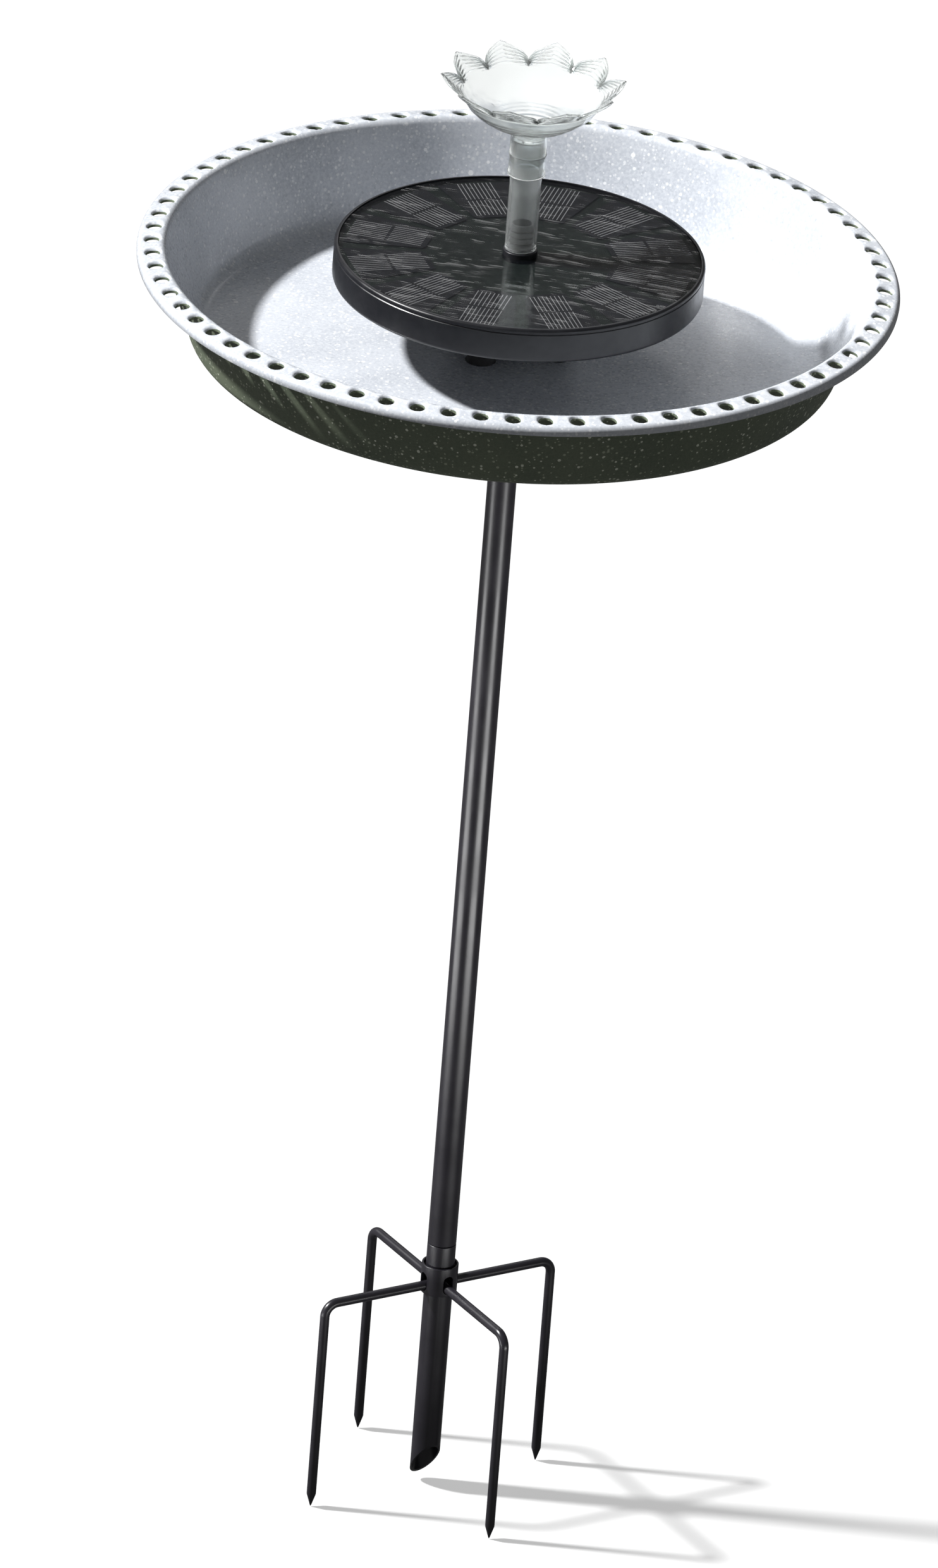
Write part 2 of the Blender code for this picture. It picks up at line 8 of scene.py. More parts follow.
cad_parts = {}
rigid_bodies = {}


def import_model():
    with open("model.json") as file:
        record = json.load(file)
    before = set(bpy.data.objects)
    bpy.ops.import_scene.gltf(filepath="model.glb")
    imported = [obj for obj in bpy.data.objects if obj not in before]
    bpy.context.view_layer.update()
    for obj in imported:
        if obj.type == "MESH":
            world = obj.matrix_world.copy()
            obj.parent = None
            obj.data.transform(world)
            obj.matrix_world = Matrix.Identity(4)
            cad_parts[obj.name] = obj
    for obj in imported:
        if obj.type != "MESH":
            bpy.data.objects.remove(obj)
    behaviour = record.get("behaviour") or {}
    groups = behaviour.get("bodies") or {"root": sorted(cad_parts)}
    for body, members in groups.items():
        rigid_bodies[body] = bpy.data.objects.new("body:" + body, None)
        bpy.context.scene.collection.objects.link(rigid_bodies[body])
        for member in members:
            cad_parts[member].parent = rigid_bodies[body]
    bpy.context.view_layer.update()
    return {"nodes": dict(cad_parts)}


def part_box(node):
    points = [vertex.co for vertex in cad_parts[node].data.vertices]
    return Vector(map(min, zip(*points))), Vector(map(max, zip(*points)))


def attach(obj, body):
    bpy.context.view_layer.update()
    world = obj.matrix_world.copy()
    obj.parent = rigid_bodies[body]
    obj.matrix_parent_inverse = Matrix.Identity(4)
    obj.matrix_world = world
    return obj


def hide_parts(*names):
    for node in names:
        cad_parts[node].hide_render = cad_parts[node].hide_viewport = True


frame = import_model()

MM = 0.001
TURN = math.tau
GAP = 0.3 * MM

# Positions and sizes that come from the frame
BOWL_LOW, BOWL_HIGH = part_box("bowl")
SHEET = 1.2 * MM
CREST_Z = BOWL_HIGH.z
FLOOR_Z = BOWL_LOW.z + SHEET
RIM_RADIUS = min(BOWL_HIGH.x, BOWL_HIGH.y, -BOWL_LOW.x, -BOWL_LOW.y)
PANEL_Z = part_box("float_tray")[1].z


def polar(radius, angle, z=0.0):
    return Vector((radius * math.cos(angle), radius * math.sin(angle), z))


def arc(center, radius, start, end, count):
    """(x, z) pairs on an arc, angles in degrees, both ends included."""
    angles = [math.radians(start + (end - start) * i / (count - 1)) for i in range(count)]
    return [(center[0] + radius * math.cos(a), center[1] + radius * math.sin(a)) for a in angles]


def soften(outline, reach, steps=4):
    """The outline with each corner rounded off, up to reach away from the corner."""
    points = [Vector(p) for p in outline]
    count = len(points)
    result = []
    for i, corner in enumerate(points):
        if corner.x < 1e-7:
            result.append(tuple(corner))
            continue
        before = points[i - 1] - corner
        after = points[(i + 1) % count] - corner
        if before.angle(after) > math.radians(165):
            result.append(tuple(corner))
            continue
        near = min(reach, 0.45 * before.length, 0.45 * after.length)
        start = corner + before.normalized() * near
        end = corner + after.normalized() * near
        for k in range(steps + 1):
            t = k / steps
            point = start * (1 - t) ** 2 + corner * (2 * t * (1 - t)) + end * t ** 2
            result.append(tuple(point))
    return result


SHARP = math.radians(32)  # edges that bend more than this stay sharp


def piece_from(name, bm):
    """A mesh object from bm, smooth but for its sharp edges."""
    bmesh.ops.recalc_face_normals(bm, faces=bm.faces)
    mesh = bpy.data.meshes.new(name)
    bm.to_mesh(mesh)
    bm.free()
    mesh.shade_smooth()
    mesh.set_sharp_from_angle(angle=SHARP)
    piece = bpy.data.objects.new(name, mesh)
    bpy.context.scene.collection.objects.link(piece)
    return piece


def lathe_into(bm, profile, steps, at=(0, 0)):
    """Turns (radius, height) pairs, listed down the outer side, about the upright line over at."""
    rings = []
    shift = Vector((at[0], at[1], 0))
    for radius, height in profile:
        if radius < 1e-7:
            rings.append([bm.verts.new(shift + Vector((0, 0, height)))])
        else:
            rings.append([bm.verts.new(shift + polar(radius, TURN * k / steps, height))
                          for k in range(steps)])
    pairs = list(zip(rings, rings[1:]))
    if len(rings[0]) > 1:
        pairs.append((rings[-1], rings[0]))
    for upper, lower in pairs:
        for k in range(steps):
            after = (k + 1) % steps
            corners = [upper[k % len(upper)], lower[k % len(lower)],
                       lower[after % len(lower)], upper[after % len(upper)]]
            face = list(dict.fromkeys(corners))
            if len(face) > 2:
                bm.faces.new(face)


def lathe(name, profile, steps=96, at=(0, 0)):
    bm = bmesh.new()
    lathe_into(bm, profile, steps, at)
    return piece_from(name, bm)


def box_into(bm, size, center, turn=0.0):
    matrix = Matrix.Rotation(turn, 4, "Z") @ Matrix.Translation(center) @ Matrix.Diagonal((*size, 1))
    bmesh.ops.create_cube(bm, size=1, matrix=matrix)


def rod_into(bm, path, radii, sides, turn):
    """A round rod along a path in the x-z plane, then turned about the axis."""
    rotation = Matrix.Rotation(turn, 4, "Z")
    side = Vector((0, 1, 0))
    rings = []
    for i, (x, z) in enumerate(path):
        before = Vector((path[max(i - 1, 0)][0], 0, path[max(i - 1, 0)][1]))
        after = Vector((path[min(i + 1, len(path) - 1)][0], 0, path[min(i + 1, len(path) - 1)][1]))
        along = (after - before).normalized()
        across = side.cross(along)
        rings.append([bm.verts.new(rotation @ (Vector((x, 0, z)) + radii[i] * (
            math.cos(TURN * k / sides) * across + math.sin(TURN * k / sides) * side)))
            for k in range(sides)])
    for first, second in zip(rings, rings[1:]):
        for k in range(sides):
            bm.faces.new((first[k], first[(k + 1) % sides], second[(k + 1) % sides], second[k]))
    bm.faces.new(rings[0])
    bm.faces.new(rings[-1])


def cut(piece, bm):
    """Cuts the closed mesh in bm out of the piece, and removes the cutter."""
    bmesh.ops.recalc_face_normals(bm, faces=bm.faces)
    mesh = bpy.data.meshes.new("cutter")
    bm.to_mesh(mesh)
    bm.free()
    cutter = bpy.data.objects.new("cutter", mesh)
    bpy.context.scene.collection.objects.link(cutter)
    modifier = piece.modifiers.new("cut", "BOOLEAN")
    modifier.object = cutter
    modifier.operation = "DIFFERENCE"
    modifier.solver = "EXACT"
    apply_modifiers(piece)
    bpy.data.objects.remove(cutter)
    piece.data.shade_smooth()
    piece.data.set_sharp_from_angle(angle=SHARP)
    return piece


def apply_modifiers(piece):
    bpy.context.view_layer.update()
    evaluated = piece.evaluated_get(bpy.context.evaluated_depsgraph_get())
    mesh = bpy.data.meshes.new_from_object(evaluated)
    piece.modifiers.clear()
    piece.data = mesh
    mesh.name = piece.name


def put(piece, body, slot, materials, *nodes):
    """Gives a finished piece its body and materials, and hides the nodes it stands for; the slot argument is
    not used.
    """
    for material in materials if isinstance(materials, (list, tuple)) else [materials]:
        piece.data.materials.append(material)
    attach(piece, body)
    if nodes:
        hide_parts(*nodes)
    return piece


# Materials

def new_material(name, color, roughness, metallic=0.0, **sockets):
    material = bpy.data.materials.new(name)
    material.use_nodes = True
    shader = material.node_tree.nodes["Principled BSDF"]
    shader.inputs["Base Color"].default_value = (*color, 1.0)
    shader.inputs["Roughness"].default_value = roughness
    shader.inputs["Metallic"].default_value = metallic
    for socket, value in sockets.items():
        shader.inputs[socket.replace("_", " ")].default_value = value
    return material, material.node_tree, shader


def texture(tree, kind, scale, stretch=(1, 1, 1), detail=None):
    """A texture node fed with the object's own coordinates, in metres."""
    coords = tree.nodes.new("ShaderNodeTexCoord")
    mapping = tree.nodes.new("ShaderNodeMapping")
    mapping.inputs["Scale"].default_value = stretch
    tree.links.new(coords.outputs["Object"], mapping.inputs["Vector"])
    made = tree.nodes.new(kind)
    made.inputs["Scale"].default_value = scale
    if detail is not None:
        made.inputs["Detail"].default_value = detail
    tree.links.new(mapping.outputs["Vector"], made.inputs["Vector"])
    return made


def noise_of(tree, scale, detail=3.0, stretch=(1, 1, 1)):
    return texture(tree, "ShaderNodeTexNoise", scale, stretch, detail).outputs["Fac"]


def math_node(tree, operation, first, second, clamp=False):
    made = tree.nodes.new("ShaderNodeMath")
    made.operation = operation
    made.use_clamp = clamp
    for socket, value in zip(made.inputs, (first, second)):
        if isinstance(value, (int, float)):
            socket.default_value = value
        else:
            tree.links.new(value, socket)
    return made.outputs["Value"]


def spread(tree, factor, low, high, to_low=0.0, to_high=1.0):
    made = tree.nodes.new("ShaderNodeMapRange")
    made.interpolation_type = "SMOOTHSTEP"
    for name, value in (("From Min", low), ("From Max", high), ("To Min", to_low), ("To Max", to_high)):
        made.inputs[name].default_value = value
    tree.links.new(factor, made.inputs["Value"])
    return made.outputs["Result"]


def specks(tree, scale, cut_off, size, sharp=14.0):
    """1 in small round specks of mixed sizes and 0 between them. A higher cut_off leaves fewer."""
    cells = texture(tree, "ShaderNodeTexVoronoi", scale)
    split = tree.nodes.new("ShaderNodeSeparateColor")
    tree.links.new(cells.outputs["Color"], split.inputs["Color"])
    over = math_node(tree, "SUBTRACT", split.outputs["Red"], cut_off)
    limit = math_node(tree, "MULTIPLY", over, size)
    inside = math_node(tree, "SUBTRACT", limit, cells.outputs["Distance"])
    return math_node(tree, "MULTIPLY", inside, sharp, clamp=True)


def mixed(tree, factor, first, second):
    """A colour between first and second, which are colours or sockets."""
    made = tree.nodes.new("ShaderNodeMix")
    made.data_type = "RGBA"
    tree.links.new(factor, made.inputs[0])
    for socket, value in ((made.inputs[6], first), (made.inputs[7], second)):
        if isinstance(value, tuple):
            socket.default_value = (*value, 1.0)
        else:
            tree.links.new(value, socket)
    return made.outputs[2]


def set_bump(tree, shader, height, distance, strength=1.0):
    made = tree.nodes.new("ShaderNodeBump")
    made.inputs["Strength"].default_value = strength
    made.inputs["Distance"].default_value = distance
    tree.links.new(height, made.inputs["Height"])
    tree.links.new(made.outputs["Normal"], shader.inputs["Normal"])


def varied(name, color, other, roughness, scale, bump=0.0, metallic=0.0, stretch=(1, 1, 1), **sockets):
    """A finish whose colour and roughness drift between two values, with a fine bump."""
    material, tree, shader = new_material(name, color, roughness, metallic, **sockets)
    drift = noise_of(tree, scale, 4.0, stretch)
    wide = spread(tree, drift, 0.3, 0.7)
    tree.links.new(mixed(tree, wide, color, other), shader.inputs["Base Color"])
    rough = spread(tree, noise_of(tree, 0.4 * scale, 3.0, stretch), 0.3, 0.7,
                   0.85 * roughness, min(1.0, 1.2 * roughness))
    tree.links.new(rough, shader.inputs["Roughness"])
    if bump:
        set_bump(tree, shader, noise_of(tree, 2.5 * scale, 2.0, stretch), bump)
    return material


def enamel_inside():
    material, tree, shader = new_material("enamel_pale_speckled", (0.62, 0.65, 0.69), 0.3,
                                          Coat_Weight=0.35, Coat_Roughness=0.12)
    cloud = spread(tree, noise_of(tree, 28, 3.0), 0.3, 0.7)
    color = mixed(tree, cloud, (0.53, 0.56, 0.61), (0.63, 0.66, 0.71))
    grain = spread(tree, noise_of(tree, 700, 3.0), 0.42, 0.62)
    color = mixed(tree, math_node(tree, "MULTIPLY", grain, 0.35), color, (0.82, 0.84, 0.87))
    dark = specks(tree, 420, 0.62, 1.0)
    color = mixed(tree, math_node(tree, "MULTIPLY", dark, 0.30), color, (0.33, 0.36, 0.40))
    fine = specks(tree, 520, 0.30, 0.7)
    color = mixed(tree, math_node(tree, "MULTIPLY", fine, 0.6), color, (0.93, 0.94, 0.95))
    medium = specks(tree, 300, 0.55, 0.7, 18.0)
    color = mixed(tree, math_node(tree, "MULTIPLY", medium, 0.8), color, (0.95, 0.96, 0.97))
    large = specks(tree, 130, 0.72, 0.7, 24.0)
    color = mixed(tree, large, color, (0.97, 0.98, 0.99))
    tree.links.new(color, shader.inputs["Base Color"])
    rough = spread(tree, noise_of(tree, 500, 2.0), 0.3, 0.7, 0.24, 0.38)
    tree.links.new(rough, shader.inputs["Roughness"])
    set_bump(tree, shader, noise_of(tree, 420, 3.0), 0.00012, 0.5)
    return material


def enamel_outside():
    # The dark green-grey base stands for the grey speckled enamel in shade: painted shade with a painted
    # green reflection. The pale specks are the enamel's own.
    material, tree, shader = new_material("enamel_speckled_painted_shade_and_reflection", (0.15, 0.18, 0.13), 0.5,
                                          Specular_IOR_Level=0.3)
    cloud = spread(tree, noise_of(tree, 14, 3.0), 0.3, 0.7)
    color = mixed(tree, cloud, (0.125, 0.155, 0.112), (0.185, 0.215, 0.150))
    grain = spread(tree, noise_of(tree, 900, 2.0), 0.35, 0.65)
    color = mixed(tree, math_node(tree, "MULTIPLY", grain, 0.25), color, (0.26, 0.29, 0.21))
    fine = specks(tree, 520, 0.40, 0.75)
    color = mixed(tree, math_node(tree, "MULTIPLY", fine, 0.45), color, (0.75, 0.80, 0.62))
    medium = specks(tree, 360, 0.55, 0.75, 20.0)
    color = mixed(tree, math_node(tree, "MULTIPLY", medium, 0.85), color, (0.92, 0.95, 0.80))
    large = specks(tree, 210, 0.84, 1.2, 22.0)
    color = mixed(tree, large, color, (0.97, 0.98, 0.88))
    tree.links.new(color, shader.inputs["Base Color"])
    rough = spread(tree, noise_of(tree, 500, 2.0), 0.3, 0.7, 0.42, 0.58)
    tree.links.new(rough, shader.inputs["Roughness"])
    set_bump(tree, shader, noise_of(tree, 420, 3.0), 0.00012, 0.5)
    return material


def panel_glazing():
    material, tree, shader = new_material("panel_cover_smoked", (0.006, 0.007, 0.009), 0.06,
                                          Alpha=0.34, IOR=1.9)
    set_bump(tree, shader, noise_of(tree, 75, 1.0, (1, 3.2, 1)), 0.00034, 1.0)
    rough = spread(tree, noise_of(tree, 60, 2.0), 0.3, 0.7, 0.04, 0.11)
    tree.links.new(rough, shader.inputs["Roughness"])
    return material


def silicon():
    material, tree, shader = new_material("solar_cell_silicon", (0.006, 0.007, 0.012), 0.3,
                                          Coat_Weight=0.3, Coat_Roughness=0.1)
    crystal = texture(tree, "ShaderNodeTexVoronoi", 260)
    split = tree.nodes.new("ShaderNodeSeparateColor")
    tree.links.new(crystal.outputs["Color"], split.inputs["Color"])
    color = mixed(tree, split.outputs["Red"], (0.004, 0.005, 0.009), (0.011, 0.013, 0.022))
    tree.links.new(color, shader.inputs["Base Color"])
    return material


def clear_plastic():
    material, tree, shader = new_material("clear_moulded_plastic", (0.95, 0.98, 0.97), 0.08,
                                          Transmission_Weight=0.92, IOR=1.46)
    haze = spread(tree, noise_of(tree, 120, 3.0), 0.35, 0.7, 0.05, 0.16)
    tree.links.new(haze, shader.inputs["Roughness"])
    tint = spread(tree, noise_of(tree, 30, 2.0), 0.3, 0.7)
    tree.links.new(mixed(tree, tint, (0.90, 0.93, 0.92), (0.96, 0.98, 0.975)), shader.inputs["Base Color"])
    set_bump(tree, shader, noise_of(tree, 260, 2.0), 0.0001, 0.5)
    return material


def make_materials():
    return {
        "paint": varied("black_satin_paint", (0.013, 0.012, 0.016), (0.018, 0.0165, 0.022), 0.33, 90,
                        0.000008, Coat_Weight=0.15, Coat_Roughness=0.2),
        "steel": varied("zinc_plated_steel", (0.60, 0.60, 0.58), (0.48, 0.48, 0.50), 0.32, 300, 0.00003, 1.0),
        "rubber": varied("black_rubber", (0.020, 0.020, 0.021), (0.034, 0.034, 0.035),
                         0.75, 300, 0.00005),
        "plastic": varied("black_moulded_plastic", (0.0085, 0.009, 0.0115), (0.013, 0.013, 0.016),
                          0.34, 220, 0.00004),
        "foam": varied("grey_cell_foam", (0.14, 0.14, 0.145), (0.24, 0.24, 0.25), 0.95, 500, 0.0005),
        "board": varied("circuit_board_dark", (0.012, 0.022, 0.017), (0.018, 0.032, 0.024),
                        0.45, 300, 0.00002),
        "copper": varied("copper_winding", (0.55, 0.22, 0.09), (0.42, 0.15, 0.06), 0.35, 60, 0.0003, 1.0,
                         (1, 1, 40)),
        "ceramic": varied("white_ceramic", (0.84, 0.84, 0.81), (0.76, 0.76, 0.73), 0.25, 500, 0.00001),
        "silver": varied("silver_print", (0.90, 0.91, 0.92), (0.80, 0.81, 0.83), 0.45, 900, 0.00001, 0.1),
        "silicon": silicon(),
        "glazing": panel_glazing(),
        "clear": clear_plastic(),
        "enamel": enamel_inside(),
        "painted_shade_enamel": enamel_outside(),
    }


# Stake, collar and prongs

PRONG_ANGLES = {"front_left": 225, "front_right": 315, "back_left": 135, "back_right": 45}
PRONG_RADIUS = 2.35 * MM
ARM_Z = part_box("prong_front_left")[1].z - PRONG_RADIUS
PRONG_REACH = 64.4 * MM
PRONG_BEND = 6.5 * MM
PRONG_POINT = 6.8 * MM
PRONG_ROOT = 3.4 * MM
SLOT_HALF = 2.7 * MM
SLOT_HEADROOM = 4.4 * MM
POLE_RADIUS = 7.1 * MM
POLE_BORE = 6.1 * MM
BEVEL = math.radians(56)
BEVEL_FACES = math.radians(-45)


def slot_cutter():
    """Four upright slots with round ends, as one closed cutter."""
    outline = arc((0, 0), SLOT_HALF, 180, 360, 13) + arc((0, SLOT_HEADROOM), SLOT_HALF, 0, 180, 13)
    start, reach = 2 * MM, 11 * MM
    bm = bmesh.new()
    for degrees in PRONG_ANGLES.values():
        turn = Matrix.Rotation(math.radians(degrees), 4, "Z")
        near = [bm.verts.new(turn @ Vector((start, y, ARM_Z + z))) for y, z in outline]
        far = [bm.verts.new(turn @ Vector((reach, y, ARM_Z + z))) for y, z in outline]
        bm.faces.new(near)
        bm.faces.new(far)
        for k in range(len(outline)):
            after = (k + 1) % len(outline)
            bm.faces.new((near[k], near[after], far[after], far[k]))
    return bm


def make_stake(looks):
    low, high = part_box("stake_tube")
    wall = [(POLE_RADIUS, high.z), (POLE_RADIUS, 0), (POLE_BORE, 0), (POLE_BORE, high.z)]
    tube = lathe("stake_tube_fine", soften(wall, 0.35 * MM), 96)
    size = 60 * MM
    bm = bmesh.new()
    bmesh.ops.create_cube(bm, size=size, matrix=Matrix.Translation((0, 0, -size / 2)))
    matrix = (Matrix.Rotation(BEVEL_FACES, 4, "Z") @ Matrix.Translation((-POLE_RADIUS, 0, low.z))
              @ Matrix.Rotation(-BEVEL, 4, "Y"))
    bmesh.ops.transform(bm, matrix=matrix, verts=bm.verts)
    cut(tube, bm)
    cut(tube, slot_cutter())
    put(tube, "stake", "black_paint", looks["paint"], "stake_tube")

    low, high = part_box("prong_collar")
    radius = high.x
    fit = POLE_RADIUS + GAP
    mouth = fit + 0.7 * MM
    profile = soften([(radius, high.z), (radius, low.z), (fit, low.z), (fit, high.z - 2.5 * MM),
                      (mouth, high.z - 2.0 * MM), (mouth, high.z)], 0.3 * MM)
    collar = lathe("prong_collar_fine", profile, 96)
    cut(collar, slot_cutter())
    put(collar, "stake", "black_paint", looks["paint"], "prong_collar")


def make_prongs(looks):
    corner = (PRONG_REACH - PRONG_BEND, ARM_Z - PRONG_BEND)
    bend = arc(corner, PRONG_BEND, 90, 0, 17)
    path = [(PRONG_ROOT, ARM_Z), (PRONG_ROOT + 0.3 * MM, ARM_Z)]
    path += [(PRONG_REACH * k / 8 + (PRONG_ROOT + 0.3 * MM) * (1 - k / 8), ARM_Z) for k in range(1, 7)]
    path += bend
    path += [(PRONG_REACH, ARM_Z - 15 * MM), (PRONG_REACH, 50 * MM), (PRONG_REACH, PRONG_POINT + 0.35 * MM),
             (PRONG_REACH, PRONG_POINT - 0.25 * MM), (PRONG_REACH, 0.5 * MM), (PRONG_REACH, 0.0)]
    radii = [PRONG_RADIUS] * len(path)
    radii[0] = PRONG_RADIUS - 0.3 * MM
    radii[-3] = 0.97 * PRONG_RADIUS
    radii[-2] = 0.18 * PRONG_RADIUS
    radii[-1] = 0.08 * PRONG_RADIUS
    for place, degrees in PRONG_ANGLES.items():
        bm = bmesh.new()
        rod_into(bm, path, radii, 28, math.radians(degrees))
        node = "prong_" + place
        put(piece_from(node + "_fine", bm), node, "black_paint", looks["paint"], node)


def make_pole(looks):
    low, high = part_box("pole_tube")
    profile = soften([(POLE_RADIUS, high.z), (POLE_RADIUS, low.z), (POLE_BORE, low.z), (POLE_BORE, high.z)],
                     0.4 * MM)
    put(lathe("pole_tube_fine", profile, 96), "pole", "black_paint", looks["paint"], "pole_tube")


# Bowl

WALL_TOP_RADIUS = 170.5 * MM
WALL_FOOT_RADIUS = 157 * MM
WALL_FOOT_DROP = 38.5 * MM
CREST_RADIUS = 174.5 * MM
RIM_ROLL = 4.5 * MM
LIP_DROP = 6 * MM
LIP_ROLL = 3.2 * MM
FLOOR_CORNER = 9 * MM
HOLE_COUNT = 72
HOLE_RADIUS = 3.8 * MM
HOLE_CIRCLE = 177.5 * MM
HOLE_PHASE = math.radians(1.2)
PATCH_INNER = 172.6 * MM
PATCH_OUTER = 182.4 * MM
DIMPLE = 1.0 * MM
DIMPLE_REACH = 1.1 * MM
COLLAR = ((3.46, 2.5), (3.48, 2.0), (3.53, 1.6), (3.63, 1.3))  # the holes' turned edge: radius, drop, in mm
COLLAR_SHEET = 0.45  # the turned edge's thickness, as a share of the sheet's
PER_HOLE = 6  # mesh steps round the rim for each hole


def bowl_line():
    """The bowl's upper surface from the bolt hole to the rim's edge, as (radius, height) pairs."""
    wall = Vector((WALL_TOP_RADIUS - WALL_FOOT_RADIUS, WALL_FOOT_DROP - RIM_ROLL))
    lean = math.degrees(math.atan2(wall.x, wall.y))
    corner_x = WALL_FOOT_RADIUS - FLOOR_CORNER * math.cos(math.radians(lean))
    corner = arc((corner_x, FLOOR_Z + FLOOR_CORNER), FLOOR_CORNER, 270, 360 - lean, 10)
    inner = arc((CREST_RADIUS, CREST_Z - RIM_ROLL), RIM_ROLL, 180 - lean, 90, 10)
    shoulder = (HOLE_CIRCLE + HOLE_RADIUS + 0.4 * MM, CREST_Z - 1.2 * MM)
    lip = arc((RIM_RADIUS - LIP_ROLL, shoulder[1] - LIP_ROLL), LIP_ROLL, 68, 0, 8)
    edge = (RIM_RADIUS - 0.2 * MM, CREST_Z - LIP_DROP)
    floor = [(r * MM, FLOOR_Z) for r in (3.5, 12, 30, 60, 90, 115, 135)]
    foot, top = Vector(corner[-1]), Vector(inner[0])
    wall_points = [tuple(foot.lerp(top, k / 5)) for k in range(1, 5)]
    return [*floor, *corner, *wall_points, *inner, *lip, edge]


def height_on(line, radius):
    for (r0, z0), (r1, z1) in zip(line, line[1:]):
        if r0 <= radius <= r1:
            return z0 + (z1 - z0) * (radius - r0) / max(r1 - r0, 1e-9)
    return line[-1][1]


def rim_patch(bm, line, thin, side_rows, index):
    """One hole's share of the rim: rings that go from the round hole out to the patch's square edge."""
    middle = HOLE_PHASE + (index + 0.5) * TURN / HOLE_COUNT
    start = index * PER_HOLE
    total = len(side_rows[0])
    border = [side_rows[0][start + k] for k in range(PER_HOLE)]
    border += [row[(start + PER_HOLE) % total] for row in side_rows[:-1]]
    border += [side_rows[-1][(start + PER_HOLE - k) % total] for k in range(PER_HOLE)]
    border += [row[start] for row in side_rows[:0:-1]]
    centre = polar(HOLE_CIRCLE, middle)
    count = len(border)
    angles = []
    for vert in border:
        out = vert.co.xy - centre.xy
        angles.append(math.atan2(out.y, out.x))
    shares = (0.0, 0.10, 0.28, 0.52, 0.78)
    rings = []
    for radius, drop in COLLAR:
        ring = []
        for angle in angles:
            flat = centre.xy + radius * MM * Vector((math.cos(angle), math.sin(angle)))
            vert = bm.verts.new((flat.x, flat.y, height_on(line, flat.length) - drop * MM))
            vert[thin][0] = COLLAR_SHEET
            ring.append(vert)
        rings.append(ring)
    for share in shares:
        ring = []
        for vert, angle in zip(border, angles):
            round_point = centre.xy + HOLE_RADIUS * Vector((math.cos(angle), math.sin(angle)))
            flat = round_point.lerp(vert.co.xy, share)
            away = (flat - centre.xy).length - HOLE_RADIUS
            dip = DIMPLE * max(0.0, 1 - away / DIMPLE_REACH) ** 2
            ring.append(bm.verts.new((flat.x, flat.y, height_on(line, flat.length) - dip)))
        rings.append(ring)
    rings.append(border)
    for depth, (first, second) in enumerate(zip(rings, rings[1:])):
        for k in range(count):
            after = (k + 1) % count
            face = bm.faces.new((first[k], first[after], second[after], second[k]))
            # The deeper collar rings take slot 1, painted shade, so the holes read dark.
            face.material_index = 1 if depth < len(COLLAR) - 1 else 0


def make_bowl(looks):
    """One enamelled sheet: pale inside and over the rim; outside and below, painted shade and a painted green
    reflection darken the same enamel.
    """
    line = bowl_line()
    across = 4
    steps = PER_HOLE * HOLE_COUNT
    below = [p for p in line if p[0] < PATCH_INNER - 0.3 * MM]
    beyond = [p for p in line if p[0] > PATCH_OUTER + 0.2 * MM or p is line[-1]]
    patch_radii = [PATCH_INNER + (PATCH_OUTER - PATCH_INNER) * k / across for k in range(across + 1)]
    bm = bmesh.new()
    thin = bm.verts.layers.deform.verify()

    def row(radius, height):
        return [bm.verts.new(polar(radius, HOLE_PHASE + TURN * k / steps, height)) for k in range(steps)]

    inner_rows = [row(*p) for p in below]
    patch_rows = [row(r, height_on(line, r)) for r in (patch_radii[0], patch_radii[-1])]
    between = []
    for r in patch_radii[1:-1]:
        spokes = [bm.verts.new(polar(r, HOLE_PHASE + TURN * k / HOLE_COUNT, height_on(line, r)))
                  for k in range(HOLE_COUNT)]
        between.append({k * PER_HOLE: spokes[k] for k in range(HOLE_COUNT)})
    outer_rows = [row(*p) for p in beyond]
    for first, second in zip(inner_rows, [*inner_rows[1:], patch_rows[0]]):
        for k in range(steps):
            after = (k + 1) % steps
            bm.faces.new((first[k], second[k], second[after], first[after]))
    for first, second in zip([patch_rows[1], *outer_rows], outer_rows):
        for k in range(steps):
            after = (k + 1) % steps
            bm.faces.new((first[k], second[k], second[after], first[after]))
    side_rows = [patch_rows[0], *between, patch_rows[1]]
    for index in range(HOLE_COUNT):
        rim_patch(bm, line, thin, side_rows, index)
    for vert in bm.verts:
        if 0 not in vert[thin]:
            vert[thin][0] = 1.0
    mesh = bpy.data.meshes.new("bowl_fine")
    bmesh.ops.recalc_face_normals(bm, faces=bm.faces)
    top = max(bm.faces, key=lambda f: -f.calc_center_median().xy.length)
    if top.normal.z < 0:
        bmesh.ops.reverse_faces(bm, faces=bm.faces)
    bm.to_mesh(mesh)
    bm.free()
    mesh.shade_smooth()
    bowl = bpy.data.objects.new("bowl_fine", mesh)
    bpy.context.scene.collection.objects.link(bowl)
    bowl.vertex_groups.new(name="sheet")
    # Slot 0 is the pale enamel; slot 1 is the same enamel with painted shade and a painted green reflection.
    bowl.data.materials.append(looks["enamel"])
    bowl.data.materials.append(looks["painted_shade_enamel"])
    sheet = bowl.modifiers.new("Sheet", "SOLIDIFY")
    sheet.thickness = SHEET
    sheet.offset = -1
    sheet.use_even_offset = True
    sheet.vertex_group = "sheet"
    # The underside takes the painted shade finish, and so do the sheet's cut edges, as a painted dark line
    # along the rim's edge and the hole ends.
    sheet.material_offset = 1
    sheet.material_offset_rim = 1
    edge = bowl.modifiers.new("Edge", "BEVEL")
    edge.width = 0.3 * MM
    edge.segments = 2
    edge.limit_method = "ANGLE"
    edge.angle_limit = math.radians(50)
    edge.use_clamp_overlap = True
    apply_modifiers(bowl)
    bowl.data.shade_smooth()
    bowl.data.set_sharp_from_angle(angle=math.radians(40))
    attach(bowl, "bowl")
    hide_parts("bowl")


